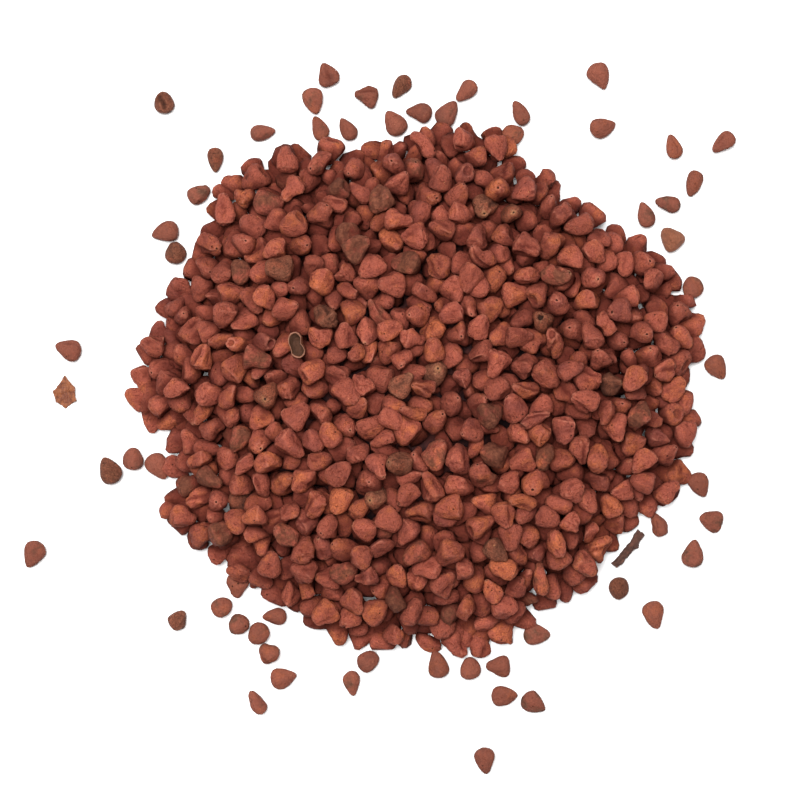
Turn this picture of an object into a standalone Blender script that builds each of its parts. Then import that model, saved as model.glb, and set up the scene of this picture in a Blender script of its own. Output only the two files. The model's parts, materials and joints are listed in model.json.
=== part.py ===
"""A heap of annatto seeds lying on a flat surface, with stray seeds, a husk chip and a twig around it.

The heap is one closed dome out to its uneven outline, with the seeds that cover it as relief. Each stray is
its own solid: a three-cornered drop with a pointed tip, resting on a small flat spot. Units are metres, +Z
is up, and the origin is the middle of the heap's flat base.
"""

import math
import random

import bmesh
import bpy
from mathutils import Matrix, Vector, noise

MM = 0.001

SEED_SIZE_SPREAD = 0.04
SEED_CROSS_CORNERS = 0.07
SEED_FLAT_SPOT = 0.12 * MM

# The forms that seeds lie in: length, width and thickness in millimetres, then how much the girth tapers
# towards the tip, how far the tip is drawn out, and how far three corners stand out in plan.
FORMS = {
    "drop": (4.6, 3.7, 2.9, 0.36, 0.10, 0.02),
    "slim": (4.4, 2.9, 2.6, 0.30, 0.06, 0.03),
    "round": (3.9, 3.5, 2.9, 0.10, 0.02, 0.02),
    "horned": (4.3, 3.7, 2.4, 0.10, 0.00, 0.15),
}

# The heap: a round dome that is drawn out near its edge to an uneven outline, given as its radius every
# 15 degrees, counter-clockwise from +X. The seeds on it are a relief about one seed in pitch.
HEAP_RADIUS = 44.0 * MM
HEAP_HEIGHT = 16.4 * MM
HEAP_OUTLINE_MM = (45.4, 47.6, 45.3, 39.8, 41.1, 44.5, 42.6, 41.2, 45.2, 47.2, 43.5, 45.0,
                   48.6, 42.0, 46.6, 43.2, 42.6, 44.0, 43.2, 45.0, 42.4, 43.8, 43.2, 46.4)
HEAP_SHOULDER = 0.72
HEAP_CELLS = 48
RELIEF_DEPTH = 2.3 * MM
RELIEF_PITCH = 5.1 * MM
RIM_SCALLOP = 1.0 * MM

# Stray seeds: where each lies, in millimetres from the heap's middle, the way its tip points in degrees,
# its form and its coat.
STRAYS = (
    # behind the heap, from left to right
    (-43.2, 48.4, 100, "round", "brown"),
    (-37.3, 32.7, 35, "horned", "red"),
    (-34.5, 38.8, -90, "slim", "brown"),
    (-26.5, 43.3, 10, "slim", "red"),
    (-15.4, 53.0, 115, "horned", "red"),
    (-17.9, 48.8, -80, "drop", "red"),
    (-16.9, 44.0, 110, "slim", "red"),
    (-8.8, 49.4, 165, "horned", "red"),
    (-12.0, 44.0, 125, "slim", "red"),
    (-3.0, 51.2, -125, "slim", "brown"),
    (-4.1, 44.9, 120, "drop", "red"),
    (0.1, 46.7, 175, "drop", "red"),
    (4.8, 46.6, 55, "drop", "red"),
    (8.0, 50.4, -135, "slim", "red"),
    (17.2, 46.6, 115, "slim", "red"),
    (15.9, 43.0, 10, "round", "red"),
    (30.5, 53.0, -65, "drop", "red"),
    (31.1, 44.2, 15, "drop", "red"),
    # on the right of the heap, from back to front
    (43.2, 40.9, 105, "slim", "red"),
    (51.6, 41.7, -140, "slim", "red"),
    (46.6, 34.8, -105, "slim", "red"),
    (42.3, 31.2, 165, "slim", "red"),
    (38.5, 29.4, 110, "slim", "red"),
    (42.9, 25.3, 130, "horned", "golden"),
    (46.4, 17.1, 110, "round", "red"),
    (50.5, 3.6, -60, "drop", "red"),
    (47.5, -16.3, -65, "drop", "red"),
    (49.7, -22.4, 165, "horned", "red"),
    (40.6, -23.2, 110, "slim", "red"),
    (46.5, -28.1, 82, "drop", "red"),
    (33.9, -33.9, -90, "round", "brown"),
    (39.8, -38.4, -75, "drop", "red"),
    # in front of the heap, from right to left
    (19.9, -41.8, 0, "drop", "red"),
    (19.4, -53.4, -30, "drop", "red"),
    (14.4, -52.1, 0, "drop", "red"),
    (13.6, -47.2, 180, "horned", "red"),
    (11.2, -63.0, -85, "drop", "red"),
    (8.6, -47.5, 90, "round", "red"),
    (3.3, -46.9, 105, "drop", "red"),
    (-8.6, -46.3, 30, "round", "red"),
    (-11.3, -50.0, -85, "slim", "red"),
    (-27.3, -53.2, 125, "slim", "red"),
    (-23.0, -49.2, 15, "drop", "red"),
    (-25.4, -44.9, 145, "round", "red"),
    (-24.4, -38.8, 180, "slim", "red"),
    (-27.1, -41.6, -140, "round", "red"),
    (-30.5, -40.1, -135, "round", "red"),
    (-33.4, -37.1, 30, "round", "red"),
    (-30.7, -33.3, -95, "horned", "red"),
    (-40.7, -39.4, 60, "round", "brown"),
    # on the left of the heap, from front to back
    (-65.3, -28.1, -115, "drop", "red"),
    (-52.4, -14.0, 115, "drop", "brown"),
    (-48.4, -12.0, 95, "round", "red"),
    (-44.3, -13.2, -60, "drop", "red"),
    (-59.4, 6.5, 160, "drop", "red"),
    (-42.9, 26.5, 195, "drop", "red"),
    (-41.3, 22.9, 100, "round", "brown"),
)

# A chip of seed husk, and a piece of stalk against the heap's edge, placed in the same way.
CHIP_PLACE = (-60.2 * MM, -0.5 * MM)
CHIP_HEADING = 75
CHIP_LENGTH = 4.8 * MM
CHIP_WIDTH = 3.9 * MM
CHIP_THICKNESS = 1.0 * MM
CHIP_RISE = 0.35
CHIP_SIDES = 7
TWIG_FROM = (33.2 * MM, -30.0 * MM)
TWIG_TO = (37.7 * MM, -24.6 * MM)
TWIG_RADIUS = 0.6 * MM
TWIG_POINTS = 7
TWIG_BEND = 0.25 * MM

COATS = {
    "red": ("seed_coat", (0.37, 0.092, 0.058), 0.90),
    "brown": ("brown_seed_coat", (0.13, 0.068, 0.045), 0.85),
    "golden": ("golden_husk", (0.35, 0.15, 0.055), 0.80),
}
BARK = ("bark", (0.09, 0.050, 0.036), 0.90)


def clear_scene():
    for obj in list(bpy.data.objects):
        bpy.data.objects.remove(obj)


def new_material(name, colour, roughness):
    material = bpy.data.materials.new(name)
    material.use_nodes = True
    shader = material.node_tree.nodes["Principled BSDF"]
    shader.inputs["Base Color"].default_value = (*colour, 1.0)
    shader.inputs["Roughness"].default_value = roughness
    shader.inputs["Metallic"].default_value = 0.0
    return material


def object_from_bmesh(name, bm, material, collection):
    mesh = bpy.data.meshes.new(name)
    bm.to_mesh(mesh)
    bm.free()
    mesh.shade_smooth()
    mesh.materials.append(material)
    obj = bpy.data.objects.new(name, mesh)
    collection.objects.link(obj)
    return obj


def outline_radius(angle):
    """Radius of the heap's edge at an angle, eased smoothly between the stated ones."""
    count = len(HEAP_OUTLINE_MM)
    place = (angle / math.tau * count) % count
    before = int(place) % count
    after = (before + 1) % count
    share = place - int(place)
    eased = share * share * (3 - 2 * share)
    return MM * ((1 - eased) * HEAP_OUTLINE_MM[before] + eased * HEAP_OUTLINE_MM[after])


def seed_top(x, y):
    """1 on the middle of each seed that covers the heap, falling towards 0 in the hollows between them."""
    spot = Vector((x / RELIEF_PITCH, y / RELIEF_PITCH, 0.5))
    nearest = noise.voronoi(spot)[0][0]
    return max(0.0, 1 - 1.5 * nearest * nearest)


def make_heap(material, collection):
    """A square grid drawn out to a disc, raised to a dome with seeds on it, and closed by a flat base."""
    bm = bmesh.new()
    bmesh.ops.create_grid(bm, x_segments=HEAP_CELLS, y_segments=HEAP_CELLS, size=1.0)
    for vert in bm.verts:
        a, b = vert.co.x, vert.co.y
        u, v = a * math.sqrt(1 - b * b / 2), b * math.sqrt(1 - a * a / 2)
        spread = min(1.0, math.hypot(u, v))
        angle = math.atan2(v, u)
        edge = outline_radius(angle)
        hollow = 1 - seed_top(edge * math.cos(angle), edge * math.sin(angle))
        lobe = (edge - HEAP_RADIUS - RIM_SCALLOP * hollow) * spread ** 3
        radius = spread * (HEAP_RADIUS + lobe)
        x, y = radius * math.cos(angle), radius * math.sin(angle)
        fullness = max(0.0, 1 - spread * spread) ** HEAP_SHOULDER
        relief = RELIEF_DEPTH * seed_top(x, y) * min(1.0, 4 * fullness)
        height = (HEAP_HEIGHT - RELIEF_DEPTH) * fullness + relief
        vert.co = (x, y, 0.0 if vert.is_boundary else height)
    rim = [edge for edge in bm.edges if edge.is_boundary]
    bmesh.ops.holes_fill(bm, edges=rim, sides=0)
    bmesh.ops.recalc_face_normals(bm, faces=bm.faces)
    return object_from_bmesh("heap", bm, material, collection)


def shape_seed(point, taper, tip, horns, cross_turn):
    """A point of the unit ball moved onto a seed of half-length 1: blunt at -X and tipped at +X."""
    x, y, z = point
    girth = (1 - taper * x) / (1 + 0.3 * taper)
    cross = 1 + SEED_CROSS_CORNERS * math.cos(3 * math.atan2(z, y) + cross_turn)
    plan = 1 + horns * math.cos(3 * math.atan2(y, x))
    drawn = tip * max(0.0, x) ** 5
    return Vector((x * plan + drawn, y * girth * cross * plan, z * girth * cross))


def make_stray(name, place, heading, form, rng, material, collection):
    """One seed lying on the surface at its place, its lowest part levelled into a small flat spot."""
    length, width, thickness, taper, tip, horns = FORMS[form]
    size = 1 + rng.uniform(-SEED_SIZE_SPREAD, SEED_SIZE_SPREAD)
    half = Vector((length, width, thickness)) * size * MM / 2
    cross_turn = rng.uniform(0, math.tau)
    tip_droop = math.radians(rng.uniform(2, 8))
    turn = Matrix.Rotation(math.radians(heading), 3, "Z") @ Matrix.Rotation(tip_droop, 3, "Y")
    bm = bmesh.new()
    bmesh.ops.create_icosphere(bm, subdivisions=2, radius=1.0)
    for vert in bm.verts:
        shaped = shape_seed(vert.co, taper, tip, horns, cross_turn)
        vert.co = turn @ Vector(a * b for a, b in zip(shaped, half))
    lowest = min(vert.co.z for vert in bm.verts)
    for vert in bm.verts:
        vert.co.z = max(0.0, vert.co.z - lowest - SEED_FLAT_SPOT)
    obj = object_from_bmesh(name, bm, material, collection)
    obj.location = (place[0] * MM, place[1] * MM, 0.0)
    return obj


def make_husk_chip(material, collection):
    """A thin, torn flake: an uneven outline given its thickness, with one end a little higher."""
    bm = bmesh.new()
    bmesh.ops.create_cone(bm, cap_ends=True, segments=CHIP_SIDES, radius1=1.0, radius2=0.82, depth=1.0)
    for vert in bm.verts:
        angle = math.atan2(vert.co.y, vert.co.x)
        torn = 1 + 0.16 * math.cos(2 * angle + 0.6) - 0.10 * math.cos(5 * angle)
        along, across = vert.co.x * torn, vert.co.y * torn
        height = (vert.co.z + 0.5) * (1 + CHIP_RISE * max(0.0, vert.co.x))
        vert.co = (along * CHIP_LENGTH / 2, across * CHIP_WIDTH / 2, height * CHIP_THICKNESS)
    obj = object_from_bmesh("husk_chip", bm, material, collection)
    obj.location = (*CHIP_PLACE, 0.0)
    obj.rotation_euler.z = math.radians(CHIP_HEADING)
    return obj


def make_twig(material, collection):
    """A crooked piece of stalk, thicker at its joints, as a bevelled curve lying on the surface."""
    lift = TWIG_RADIUS * 1.25
    start, end = Vector((*TWIG_FROM, lift)), Vector((*TWIG_TO, lift))
    across = (end - start).cross(Vector((0, 0, 1))).normalized()
    curve = bpy.data.curves.new("twig", "CURVE")
    curve.dimensions = "3D"
    curve.bevel_depth = TWIG_RADIUS
    curve.bevel_resolution = 2
    curve.use_fill_caps = True
    spline = curve.splines.new("POLY")
    spline.points.add(TWIG_POINTS - 1)
    for i, point in enumerate(spline.points):
        share = i / (TWIG_POINTS - 1)
        spot = start.lerp(end, share) + across * TWIG_BEND * math.sin(2.3 * math.pi * share)
        point.co = (*spot, 1.0)
        point.radius = 1.0 + 0.2 * math.cos(4 * math.pi * share)
    curve.materials.append(material)
    obj = bpy.data.objects.new("twig", curve)
    collection.objects.link(obj)
    return obj


def main():
    clear_scene()
    parts = bpy.data.collections.new("annatto_seeds")
    bpy.context.scene.collection.children.link(parts)
    coats = {coat: new_material(*finish) for coat, finish in COATS.items()}

    make_heap(coats["red"], parts)
    rng = random.Random(7)
    for number, (x, y, heading, form, coat) in enumerate(STRAYS, start=1):
        make_stray(f"{form}_seed_{number:02d}", (x, y), heading, form, rng, coats[coat], parts)
    make_husk_chip(coats["golden"], parts)
    make_twig(new_material(*BARK), parts)


main()
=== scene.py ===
import json
import math
import random
import time
import bmesh
import bpy
import numpy as np
from mathutils import Euler, Matrix, Vector, noise
from mathutils.bvhtree import BVHTree

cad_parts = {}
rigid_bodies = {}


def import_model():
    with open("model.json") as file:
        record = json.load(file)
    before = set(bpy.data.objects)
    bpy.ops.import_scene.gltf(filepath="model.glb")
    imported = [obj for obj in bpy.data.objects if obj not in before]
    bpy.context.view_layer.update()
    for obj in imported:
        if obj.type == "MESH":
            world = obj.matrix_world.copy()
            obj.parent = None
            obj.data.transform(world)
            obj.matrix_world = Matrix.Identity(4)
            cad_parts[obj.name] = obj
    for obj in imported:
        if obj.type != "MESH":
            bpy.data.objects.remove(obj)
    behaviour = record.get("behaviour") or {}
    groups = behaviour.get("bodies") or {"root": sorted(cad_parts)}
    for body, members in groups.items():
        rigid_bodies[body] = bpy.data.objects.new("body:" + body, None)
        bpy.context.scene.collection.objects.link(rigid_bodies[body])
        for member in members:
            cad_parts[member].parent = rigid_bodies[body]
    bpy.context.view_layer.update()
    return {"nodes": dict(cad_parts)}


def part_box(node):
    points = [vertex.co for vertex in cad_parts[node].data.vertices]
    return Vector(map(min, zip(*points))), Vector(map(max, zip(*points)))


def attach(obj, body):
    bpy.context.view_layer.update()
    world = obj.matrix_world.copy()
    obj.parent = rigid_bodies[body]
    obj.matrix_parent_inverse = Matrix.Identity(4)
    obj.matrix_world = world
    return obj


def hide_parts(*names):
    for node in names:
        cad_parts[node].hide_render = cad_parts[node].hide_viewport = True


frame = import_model()
nodes = frame["nodes"]
scene = bpy.context.scene
mm = 0.001
started = time.time()


def stage(words):
    print(f"{words} ({time.time() - started:.0f} s)")


def mark(mesh, word, sort, values):
    # a value for every point of a mesh
    field = "vector" if sort == "FLOAT_VECTOR" else "value"
    mesh.attributes.new(word, sort, "POINT").data.foreach_set(field, values)


def show(name, data):
    # a new object, linked to the scene
    made = bpy.data.objects.new(name, data)
    scene.collection.objects.link(made)
    return made


# Seed forms. A profile runs from the blunt end (x = -1) to the tip (x = 1): place along and radius,
# as shares of the half length and half width, then how much pale rim (a pale ring, partly a painted glint)
# and hole (painted shade) show there.
bluntEnds = {
    "round": [(-1.0, 0.0, 0, 0), (-0.99, 0.17, 0, 0), (-0.965, 0.33, 0, 0), (-0.91, 0.50, 0, 0),
              (-0.81, 0.68, 0, 0)],
    "sunken": [(-0.80, 0.0, 0, 0.3), (-0.81, 0.20, 0, 0), (-0.87, 0.36, 0, 0), (-0.96, 0.47, 0.35, 0),
               (-0.93, 0.66, 0, 0)],
}
bodies = {
    "full": [(-0.76, 0.84, 0, 0), (-0.58, 0.95, 0, 0), (-0.34, 1.0, 0, 0), (-0.08, 1.0, 0, 0),
             (0.18, 0.96, 0, 0), (0.42, 0.87, 0, 0), (0.62, 0.75, 0, 0)],
    "cup": [(-0.66, 0.80, 0, 0), (-0.40, 0.90, 0, 0), (0.0, 0.97, 0, 0), (0.40, 1.0, 0, 0),
            (0.72, 1.0, 0.2, 0)],
}
tipEnds = {
    "shut": [(0.79, 0.63, 0, 0), (0.91, 0.47, 0, 0), (0.975, 0.29, 0.5, 0), (1.0, 0.155, 1, 0.1),
             (0.975, 0.095, 0.5, 0.7), (0.89, 0.0, 0, 1)],
    "torn": [(0.79, 0.60, 0.1, 0), (0.88, 0.46, 0.6, 0), (0.91, 0.37, 1, 0), (0.80, 0.30, 0.9, 0.2),
             (0.62, 0.26, 0.1, 0.7), (0.46, 0.0, 0, 1)],
    "cup": [(0.95, 0.99, 0.8, 0), (1.0, 0.96, 1, 0), (0.97, 0.92, 0.6, 0.2), (0.82, 0.88, 0, 0.7),
            (0.35, 0.78, 0, 1), (-0.20, 0.55, 0, 0.8), (-0.42, 0.26, 0.1, 1), (-0.46, 0.0, 0, 0.8)],
}

shutEnds = ("round", "full", "shut")
sunkenEnds = ("sunken", "full", "shut")
seedKinds = {
    # size in mm: length, width, height; taper narrows the tip, corners makes it three-sided,
    # flats presses plane faces, dent, groove and lumps are in mm, bend is in degrees
    "plump": {"size": (4.6, 4.5, 3.8), "taper": 0.16, "corners": 0.06, "flats": 3, "press": 0.78,
              "dent": 0.44, "groove": 0.16, "lumps": 0.30, "bend": 8, "ends": shutEnds, "forms": 18},
    "wedge": {"size": (4.7, 4.6, 3.5), "taper": 0.32, "corners": 0.11, "flats": 3, "press": 0.74,
              "dent": 0.50, "groove": 0.20, "lumps": 0.30, "bend": 12, "ends": shutEnds, "forms": 20},
    "dimpled": {"size": (4.4, 4.3, 3.8), "taper": 0.24, "corners": 0.07, "flats": 2, "press": 0.80,
                "dent": 0.42, "groove": 0.18, "lumps": 0.32, "bend": 6, "ends": sunkenEnds, "forms": 10},
    "slim": {"size": (4.7, 3.6, 3.0), "taper": 0.28, "corners": 0.07, "flats": 3, "press": 0.78,
             "dent": 0.42, "groove": 0.30, "lumps": 0.28, "bend": 18, "ends": shutEnds, "forms": 12},
    "creased": {"size": (4.7, 4.5, 3.7), "taper": 0.20, "corners": 0.08, "flats": 2, "press": 0.78,
                "dent": 1.0, "groove": 0.86, "lumps": 0.44, "bend": 22, "ends": shutEnds, "forms": 26},
    "curled": {"size": (5.4, 3.2, 2.7), "taper": 0.10, "corners": 0.04, "flats": 1, "press": 0.85,
               "dent": 0.50, "groove": 0.55, "lumps": 0.32, "bend": 78, "ends": sunkenEnds, "forms": 6},
    "opened": {"size": (4.4, 4.1, 3.7), "taper": 0.10, "corners": 0.10, "flats": 2, "press": 0.85,
               "dent": 0.45, "groove": 0.26, "lumps": 0.30, "bend": 5, "ends": ("round", "full", "torn"),
               "forms": 3},
    "husk": {"size": (2.2, 4.6, 3.3), "taper": 0.0, "corners": 0.06, "flats": 0, "press": 1.0,
             "dent": 0.20, "groove": 0.10, "lumps": 0.24, "bend": 0, "ends": ("round", "cup", "cup"),
             "waist": 0.32, "forms": 1},
}
wither = {
    # how every seed dried: widths and pitches in mm
    "dents": 3, "dentWide": (0.65, 1.15), "dentAt": 0.85, "laterDents": 0.45, "seamWide": 0.24,
    "seamSwing": 0.35, "lumpScale": 0.55, "wrinkleScale": (0.8, 2.0, 2.0), "wrinkles": 0.5, "soft": 0.11,
    "ragged": 0.09,
}


def shrivel(co, kind, draw):
    # broad dents, a seam along one side and lumps; also says how far each point lies in a crease, which the
    # coats darken as painted shade
    length, width, height = np.ptp(co, axis=0)
    crease = np.zeros(len(co))
    for k in range(wither["dents"]):
        turn = draw.uniform(0, 2 * math.pi)
        x = draw.uniform(-0.5, 0.5) * length / 2
        heart = np.array([x, math.cos(turn) * width / 2, math.sin(turn) * height / 2]) * wither["dentAt"]
        wide = draw.uniform(*wither["dentWide"])
        away = np.linalg.norm((co - heart) / np.array([1.5, 1.0, 1.0]), axis=1)
        share = np.exp(-(away / wide) ** 2)
        inward = -co * np.array([0.15, 1.0, 1.0])
        inward /= np.linalg.norm(inward, axis=1)[:, None] + 1e-6
        depth = kind["dent"] * draw.uniform(0.5, 1.3) * (1.0 if k == 0 else wither["laterDents"])
        co = co + inward * (share * depth)[:, None]
        crease = np.maximum(crease, share * min(1.0, depth * 1.3))
    seam = draw.uniform(0, 2 * math.pi)
    swing = draw.uniform(-wither["seamSwing"], wither["seamSwing"])
    theta = np.arctan2(co[:, 2] / height, co[:, 1] / width)
    bodyShare = np.clip(1.1 - np.abs(co[:, 0]) / (length / 2), 0, 1) ** 0.5
    off = np.angle(np.exp(1j * (theta - seam - swing * co[:, 0])))
    share = np.exp(-(off / wither["seamWide"]) ** 2) * bodyShare
    depth = kind["groove"] * draw.uniform(0.6, 1.3)
    co[:, 1:] *= (1 - share * depth / (width / 2))[:, None]
    crease = np.maximum(crease, share * min(1.0, 0.25 + depth * 2.0))
    push = Vector((draw.uniform(0, 90), draw.uniform(0, 90), draw.uniform(0, 90)))
    lumps = np.array([noise.noise(Vector(p) * wither["lumpScale"] + push) for p in co])
    wrinkles = np.array([noise.noise(Vector(p) + push) for p in co * np.array(wither["wrinkleScale"])])
    calm = np.clip(np.linalg.norm(co[:, 1:], axis=1) / 0.8, 0, 1)
    outward = co * np.array([0.4, 1.0, 1.0])
    outward /= np.linalg.norm(outward, axis=1)[:, None] + 1e-6
    co = co + outward * ((lumps + wrinkles * wither["wrinkles"]) * kind["lumps"] * calm)[:, None]
    return co, crease


def seedMesh(kind, draw, around, step):
    # returns points in mm, faces, and for each point its share of crease and hole (painted shade in the
    # coats) and of rim (a pale ring, partly a painted glint);
    # a step of 2 leaves out every second ring
    length, width, height = kind["size"]
    length *= draw.uniform(0.92, 1.07)
    width *= draw.uniform(0.90, 1.08)
    height *= draw.uniform(0.88, 1.10)
    blunt, body, tip = kind["ends"]
    profile = np.array((bluntEnds[blunt] + bodies[body] + tipEnds[tip])[::step])
    profile[-1, 1] = 0.0
    taper = kind["taper"] * draw.uniform(0.7, 1.3)
    corners = kind["corners"] * draw.uniform(0.5, 1.5)
    cornerTurn = draw.uniform(0, 2 * math.pi)
    along = profile[:, 0]
    radius = profile[:, 1] * (1 - taper * np.clip(along, -0.9, 0.9)) / (1 + 0.35 * taper)
    angle = np.arange(around) * 2 * math.pi / around
    pinch = np.exp(-((angle - 1.6) / 0.45) ** 2) + 0.5 * np.exp(-((angle - 4.8) / 0.4) ** 2)
    waist = kind.get("waist", 0.0) * pinch
    spots = []
    marks = []
    for x, r, (rim, hole) in zip(along, radius, profile[:, 2:]):
        wobble = 1 + corners * np.cos(3 * (angle - cornerTurn)) * min(1.0, 1.3 - abs(x)) - waist
        for a in range(around if r > 0 else 1):
            frays = tip == "torn" and rim > 0.6
            ragged = draw.uniform(-wither["ragged"], wither["ragged"]) if frays else 0.0
            reach = r * wobble[a] * (1 + ragged)
            spots.append((x + ragged, reach * math.cos(angle[a]), reach * math.sin(angle[a])))
            marks.append((rim, hole))
    half = np.array([length / 2, width / 2, height / 2])
    co = np.array(spots) * half
    # plane faces, where it grew against its neighbours
    for k in range(kind["flats"]):
        turn = cornerTurn + math.pi / 3 + k * 2 * math.pi / 3 + draw.uniform(-0.5, 0.5)
        normal = np.array([draw.uniform(-0.55, 0.35), math.cos(turn), math.sin(turn)])
        normal /= np.linalg.norm(normal)
        reach = np.linalg.norm(normal * half) * kind["press"] * draw.uniform(0.88, 1.08)
        over = co @ normal - reach
        soft = wither["soft"]
        pressed = np.where(over > 6 * soft, over, soft * np.log1p(np.exp(np.minimum(over / soft, 6))))
        co = co - np.outer(pressed * 0.90, normal)
    co, crease = shrivel(co, kind, draw)
    # bend the whole body; a curled seed always bends, and one way
    bend = math.radians(kind["bend"]) * draw.uniform(-1.0, 1.0)
    if kind["bend"] > 60:
        bend = math.radians(kind["bend"]) * draw.uniform(0.8, 1.25)
    if abs(bend) > 0.02:
        arc = length / bend
        place = co[:, 0] / arc
        reach = arc - co[:, 1]
        co = np.stack([reach * np.sin(place), arc - reach * np.cos(place), co[:, 2]], axis=1)
    co -= (co.max(0) + co.min(0)) / 2
    marks = np.array(marks)
    shares = {"crease": crease, "rim": marks[:, 0], "hole": marks[:, 1]}
    return co, ringFaces([around if r > 0 else 1 for r in radius]), shares


def ringFaces(counts):
    # joins rings of points in turn; a ring of one point closes an end
    faces = []
    first = 0
    for here, after in zip(counts, counts[1:]):
        second = first + here
        for a in range(max(here, after)):
            b = (a + 1) % max(here, after)
            if here == 1:
                faces.append((first, second + b, second + a))
            elif after == 1:
                faces.append((first + a, first + b, second))
            else:
                faces.append((first + a, first + b, second + b, second + a))
        first = second
    return faces


def bulge(co, faces, normals):
    # how sharply the surface turns at each point, in 1/mm: high on ridges, below 0 in hollows
    pairs = np.array([(face[k - 1], face[k]) for face in faces for k in range(len(face))])
    pairs = np.vstack([pairs, pairs[:, ::-1]])
    steps = co[pairs[:, 1]] - co[pairs[:, 0]]
    span = np.linalg.norm(steps, axis=1) + 1e-6
    turned = -2 * (steps * normals[pairs[:, 0]]).sum(axis=1) / span ** 2
    return np.bincount(pairs[:, 0], turned) / np.bincount(pairs[:, 0])


def makeMesh(name, places, faces, own, shares):
    # places and the seed's own coordinates are in mm; shares hold a value for each point, by word
    mesh = bpy.data.meshes.new(name)
    mesh.from_pydata([tuple(p) for p in places * mm], [], faces)
    mesh.polygons.foreach_set("use_smooth", [True] * len(faces))
    mesh.update()
    normals = np.array([v.vector for v in mesh.vertex_normals])
    mark(mesh, "seedCo", "FLOAT_VECTOR", np.asarray(own, np.float32).ravel())
    for word, values in (*shares.items(), ("bulge", bulge(places, faces, normals))):
        mark(mesh, word, "FLOAT", np.asarray(values, np.float32))
    return mesh


def makeForms(around, step):
    forms = []
    for word, kind in seedKinds.items():
        for k in range(kind["forms"]):
            co, faces, shares = seedMesh(kind, random.Random(f"{word} {k}"), around, step)
            forms.append({"kind": word, "co": co, "faces": faces, "shares": shares})
    return forms


def chooseForm(forms, draw, words, weights=None):
    word = draw.choices(words, weights=weights)[0]
    return draw.choice([k for k, form in enumerate(forms) if form["kind"] == word])


# Coats. A seed's colours in turn: body, the warmer and duller patches on it, its dusty streaks, small
# flecks (painted glints), its creases (painted shade in dents, seams and hollows, and dark grit and wrinkle
# lines), brown stains, the pale rim of its tip (a pale ring, partly a painted glint), the painted shade in
# its tip's hole and small pits, and the painted shade of the gaps.
redColors = {
    "body": (0.375, 0.094, 0.057), "warm": (0.485, 0.130, 0.053), "dull": (0.225, 0.058, 0.042),
    "dust": (0.420, 0.140, 0.090), "fleck": (0.56, 0.25, 0.11), "crease": (0.110, 0.019, 0.013),
    "stain": (0.195, 0.068, 0.038), "darkStain": (0.100, 0.034, 0.020), "rim": (0.52, 0.28, 0.15),
    "hole": (0.016, 0.007, 0.005), "gap": (0.092, 0.016, 0.010),
}
brownColors = {
    "body": (0.240, 0.083, 0.047), "warm": (0.330, 0.090, 0.048), "dull": (0.130, 0.038, 0.021),
    "dust": (0.275, 0.108, 0.064), "fleck": (0.55, 0.29, 0.11), "crease": (0.055, 0.020, 0.013),
    "stain": (0.190, 0.070, 0.037), "darkStain": (0.095, 0.034, 0.019), "rim": (0.36, 0.165, 0.075),
    "hole": (0.022, 0.012, 0.008), "gap": (0.055, 0.018, 0.012),
}
goldenColors = {
    "body": (0.290, 0.100, 0.052), "warm": (0.390, 0.165, 0.082), "dull": (0.150, 0.052, 0.028),
    "dust": (0.45, 0.24, 0.14), "fleck": (0.58, 0.36, 0.18), "crease": (0.15, 0.050, 0.024),
    "stain": (0.16, 0.070, 0.036), "darkStain": (0.060, 0.028, 0.016), "rim": (0.35, 0.155, 0.100),
    "hole": (0.060, 0.025, 0.012), "gap": (0.080, 0.026, 0.014),
}


def nodeIn(tree, kind, place, settings=None, inputs=None):
    made = tree.nodes.new(kind)
    made.location = (place[0] * 200, place[1] * -180)
    for word, value in (settings or {}).items():
        setattr(made, word, value)
    for socket, value in (inputs or {}).items():
        if hasattr(value, "links"):
            tree.links.new(value, made.inputs[socket])
        else:
            made.inputs[socket].default_value = value
    return made


def shareOf(tree, place, value, low, high, out=(0.0, 1.0)):
    # a smooth step from low to high
    made = nodeIn(tree, "ShaderNodeMapRange", place, {"interpolation_type": "SMOOTHSTEP"},
                  {"Value": value, "From Min": low, "From Max": high, "To Min": out[0], "To Max": out[1]})
    return made.outputs["Result"]


def times(tree, place, a, b):
    return nodeIn(tree, "ShaderNodeMath", place, {"operation": "MULTIPLY"}, {0: a, 1: b}).outputs[0]


def plus(tree, place, a, b):
    return nodeIn(tree, "ShaderNodeMath", place, {"operation": "ADD"}, {0: a, 1: b}).outputs[0]


def mixColor(tree, place, share, a, b):
    made = nodeIn(tree, "ShaderNodeMix", place, {"data_type": "RGBA"})
    for socket, value in ((0, share), (6, a), (7, b)):
        if hasattr(value, "links"):
            tree.links.new(value, made.inputs[socket])
        else:
            made.inputs[socket].default_value = (*value, 1.0)
    return made.outputs[2]


def layers(tree, place, color, rows):
    # lays colour over colour; a row holds a value, where it starts and ends, its most, and the colour
    x, y = place
    for k, (value, low, high, most, upper) in enumerate(rows):
        share = shareOf(tree, (x + k - 1, y + 1), value, low, high, (0.0, most))
        color = mixColor(tree, (x + k, y), share, color, upper)
    return color


def sumOf(tree, place, first, rows):
    # adds each row's value times its weight
    x, y = place
    for k, (value, weight) in enumerate(rows):
        first = plus(tree, (x + k, y), first, times(tree, (x + k - 1, y + 1), value, weight))
    return first


def attribute(tree, place, word, output="Fac"):
    return nodeIn(tree, "ShaderNodeAttribute", place, {"attribute_name": word}).outputs[output]


def noiseIn(tree, place, where, scale, detail, roughness, twist=0.0):
    return nodeIn(tree, "ShaderNodeTexNoise", place, None,
                  {"Vector": where, "Scale": scale, "Detail": detail, "Roughness": roughness,
                   "Distortion": twist}).outputs["Fac"]


def newCoat(name, roughness, gloss):
    material = bpy.data.materials.new(name)
    material.use_nodes = True
    shader = material.node_tree.nodes["Principled BSDF"]
    shader.inputs["Roughness"].default_value = roughness
    shader.inputs["Specular IOR Level"].default_value = gloss
    return material, material.node_tree, shader


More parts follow.
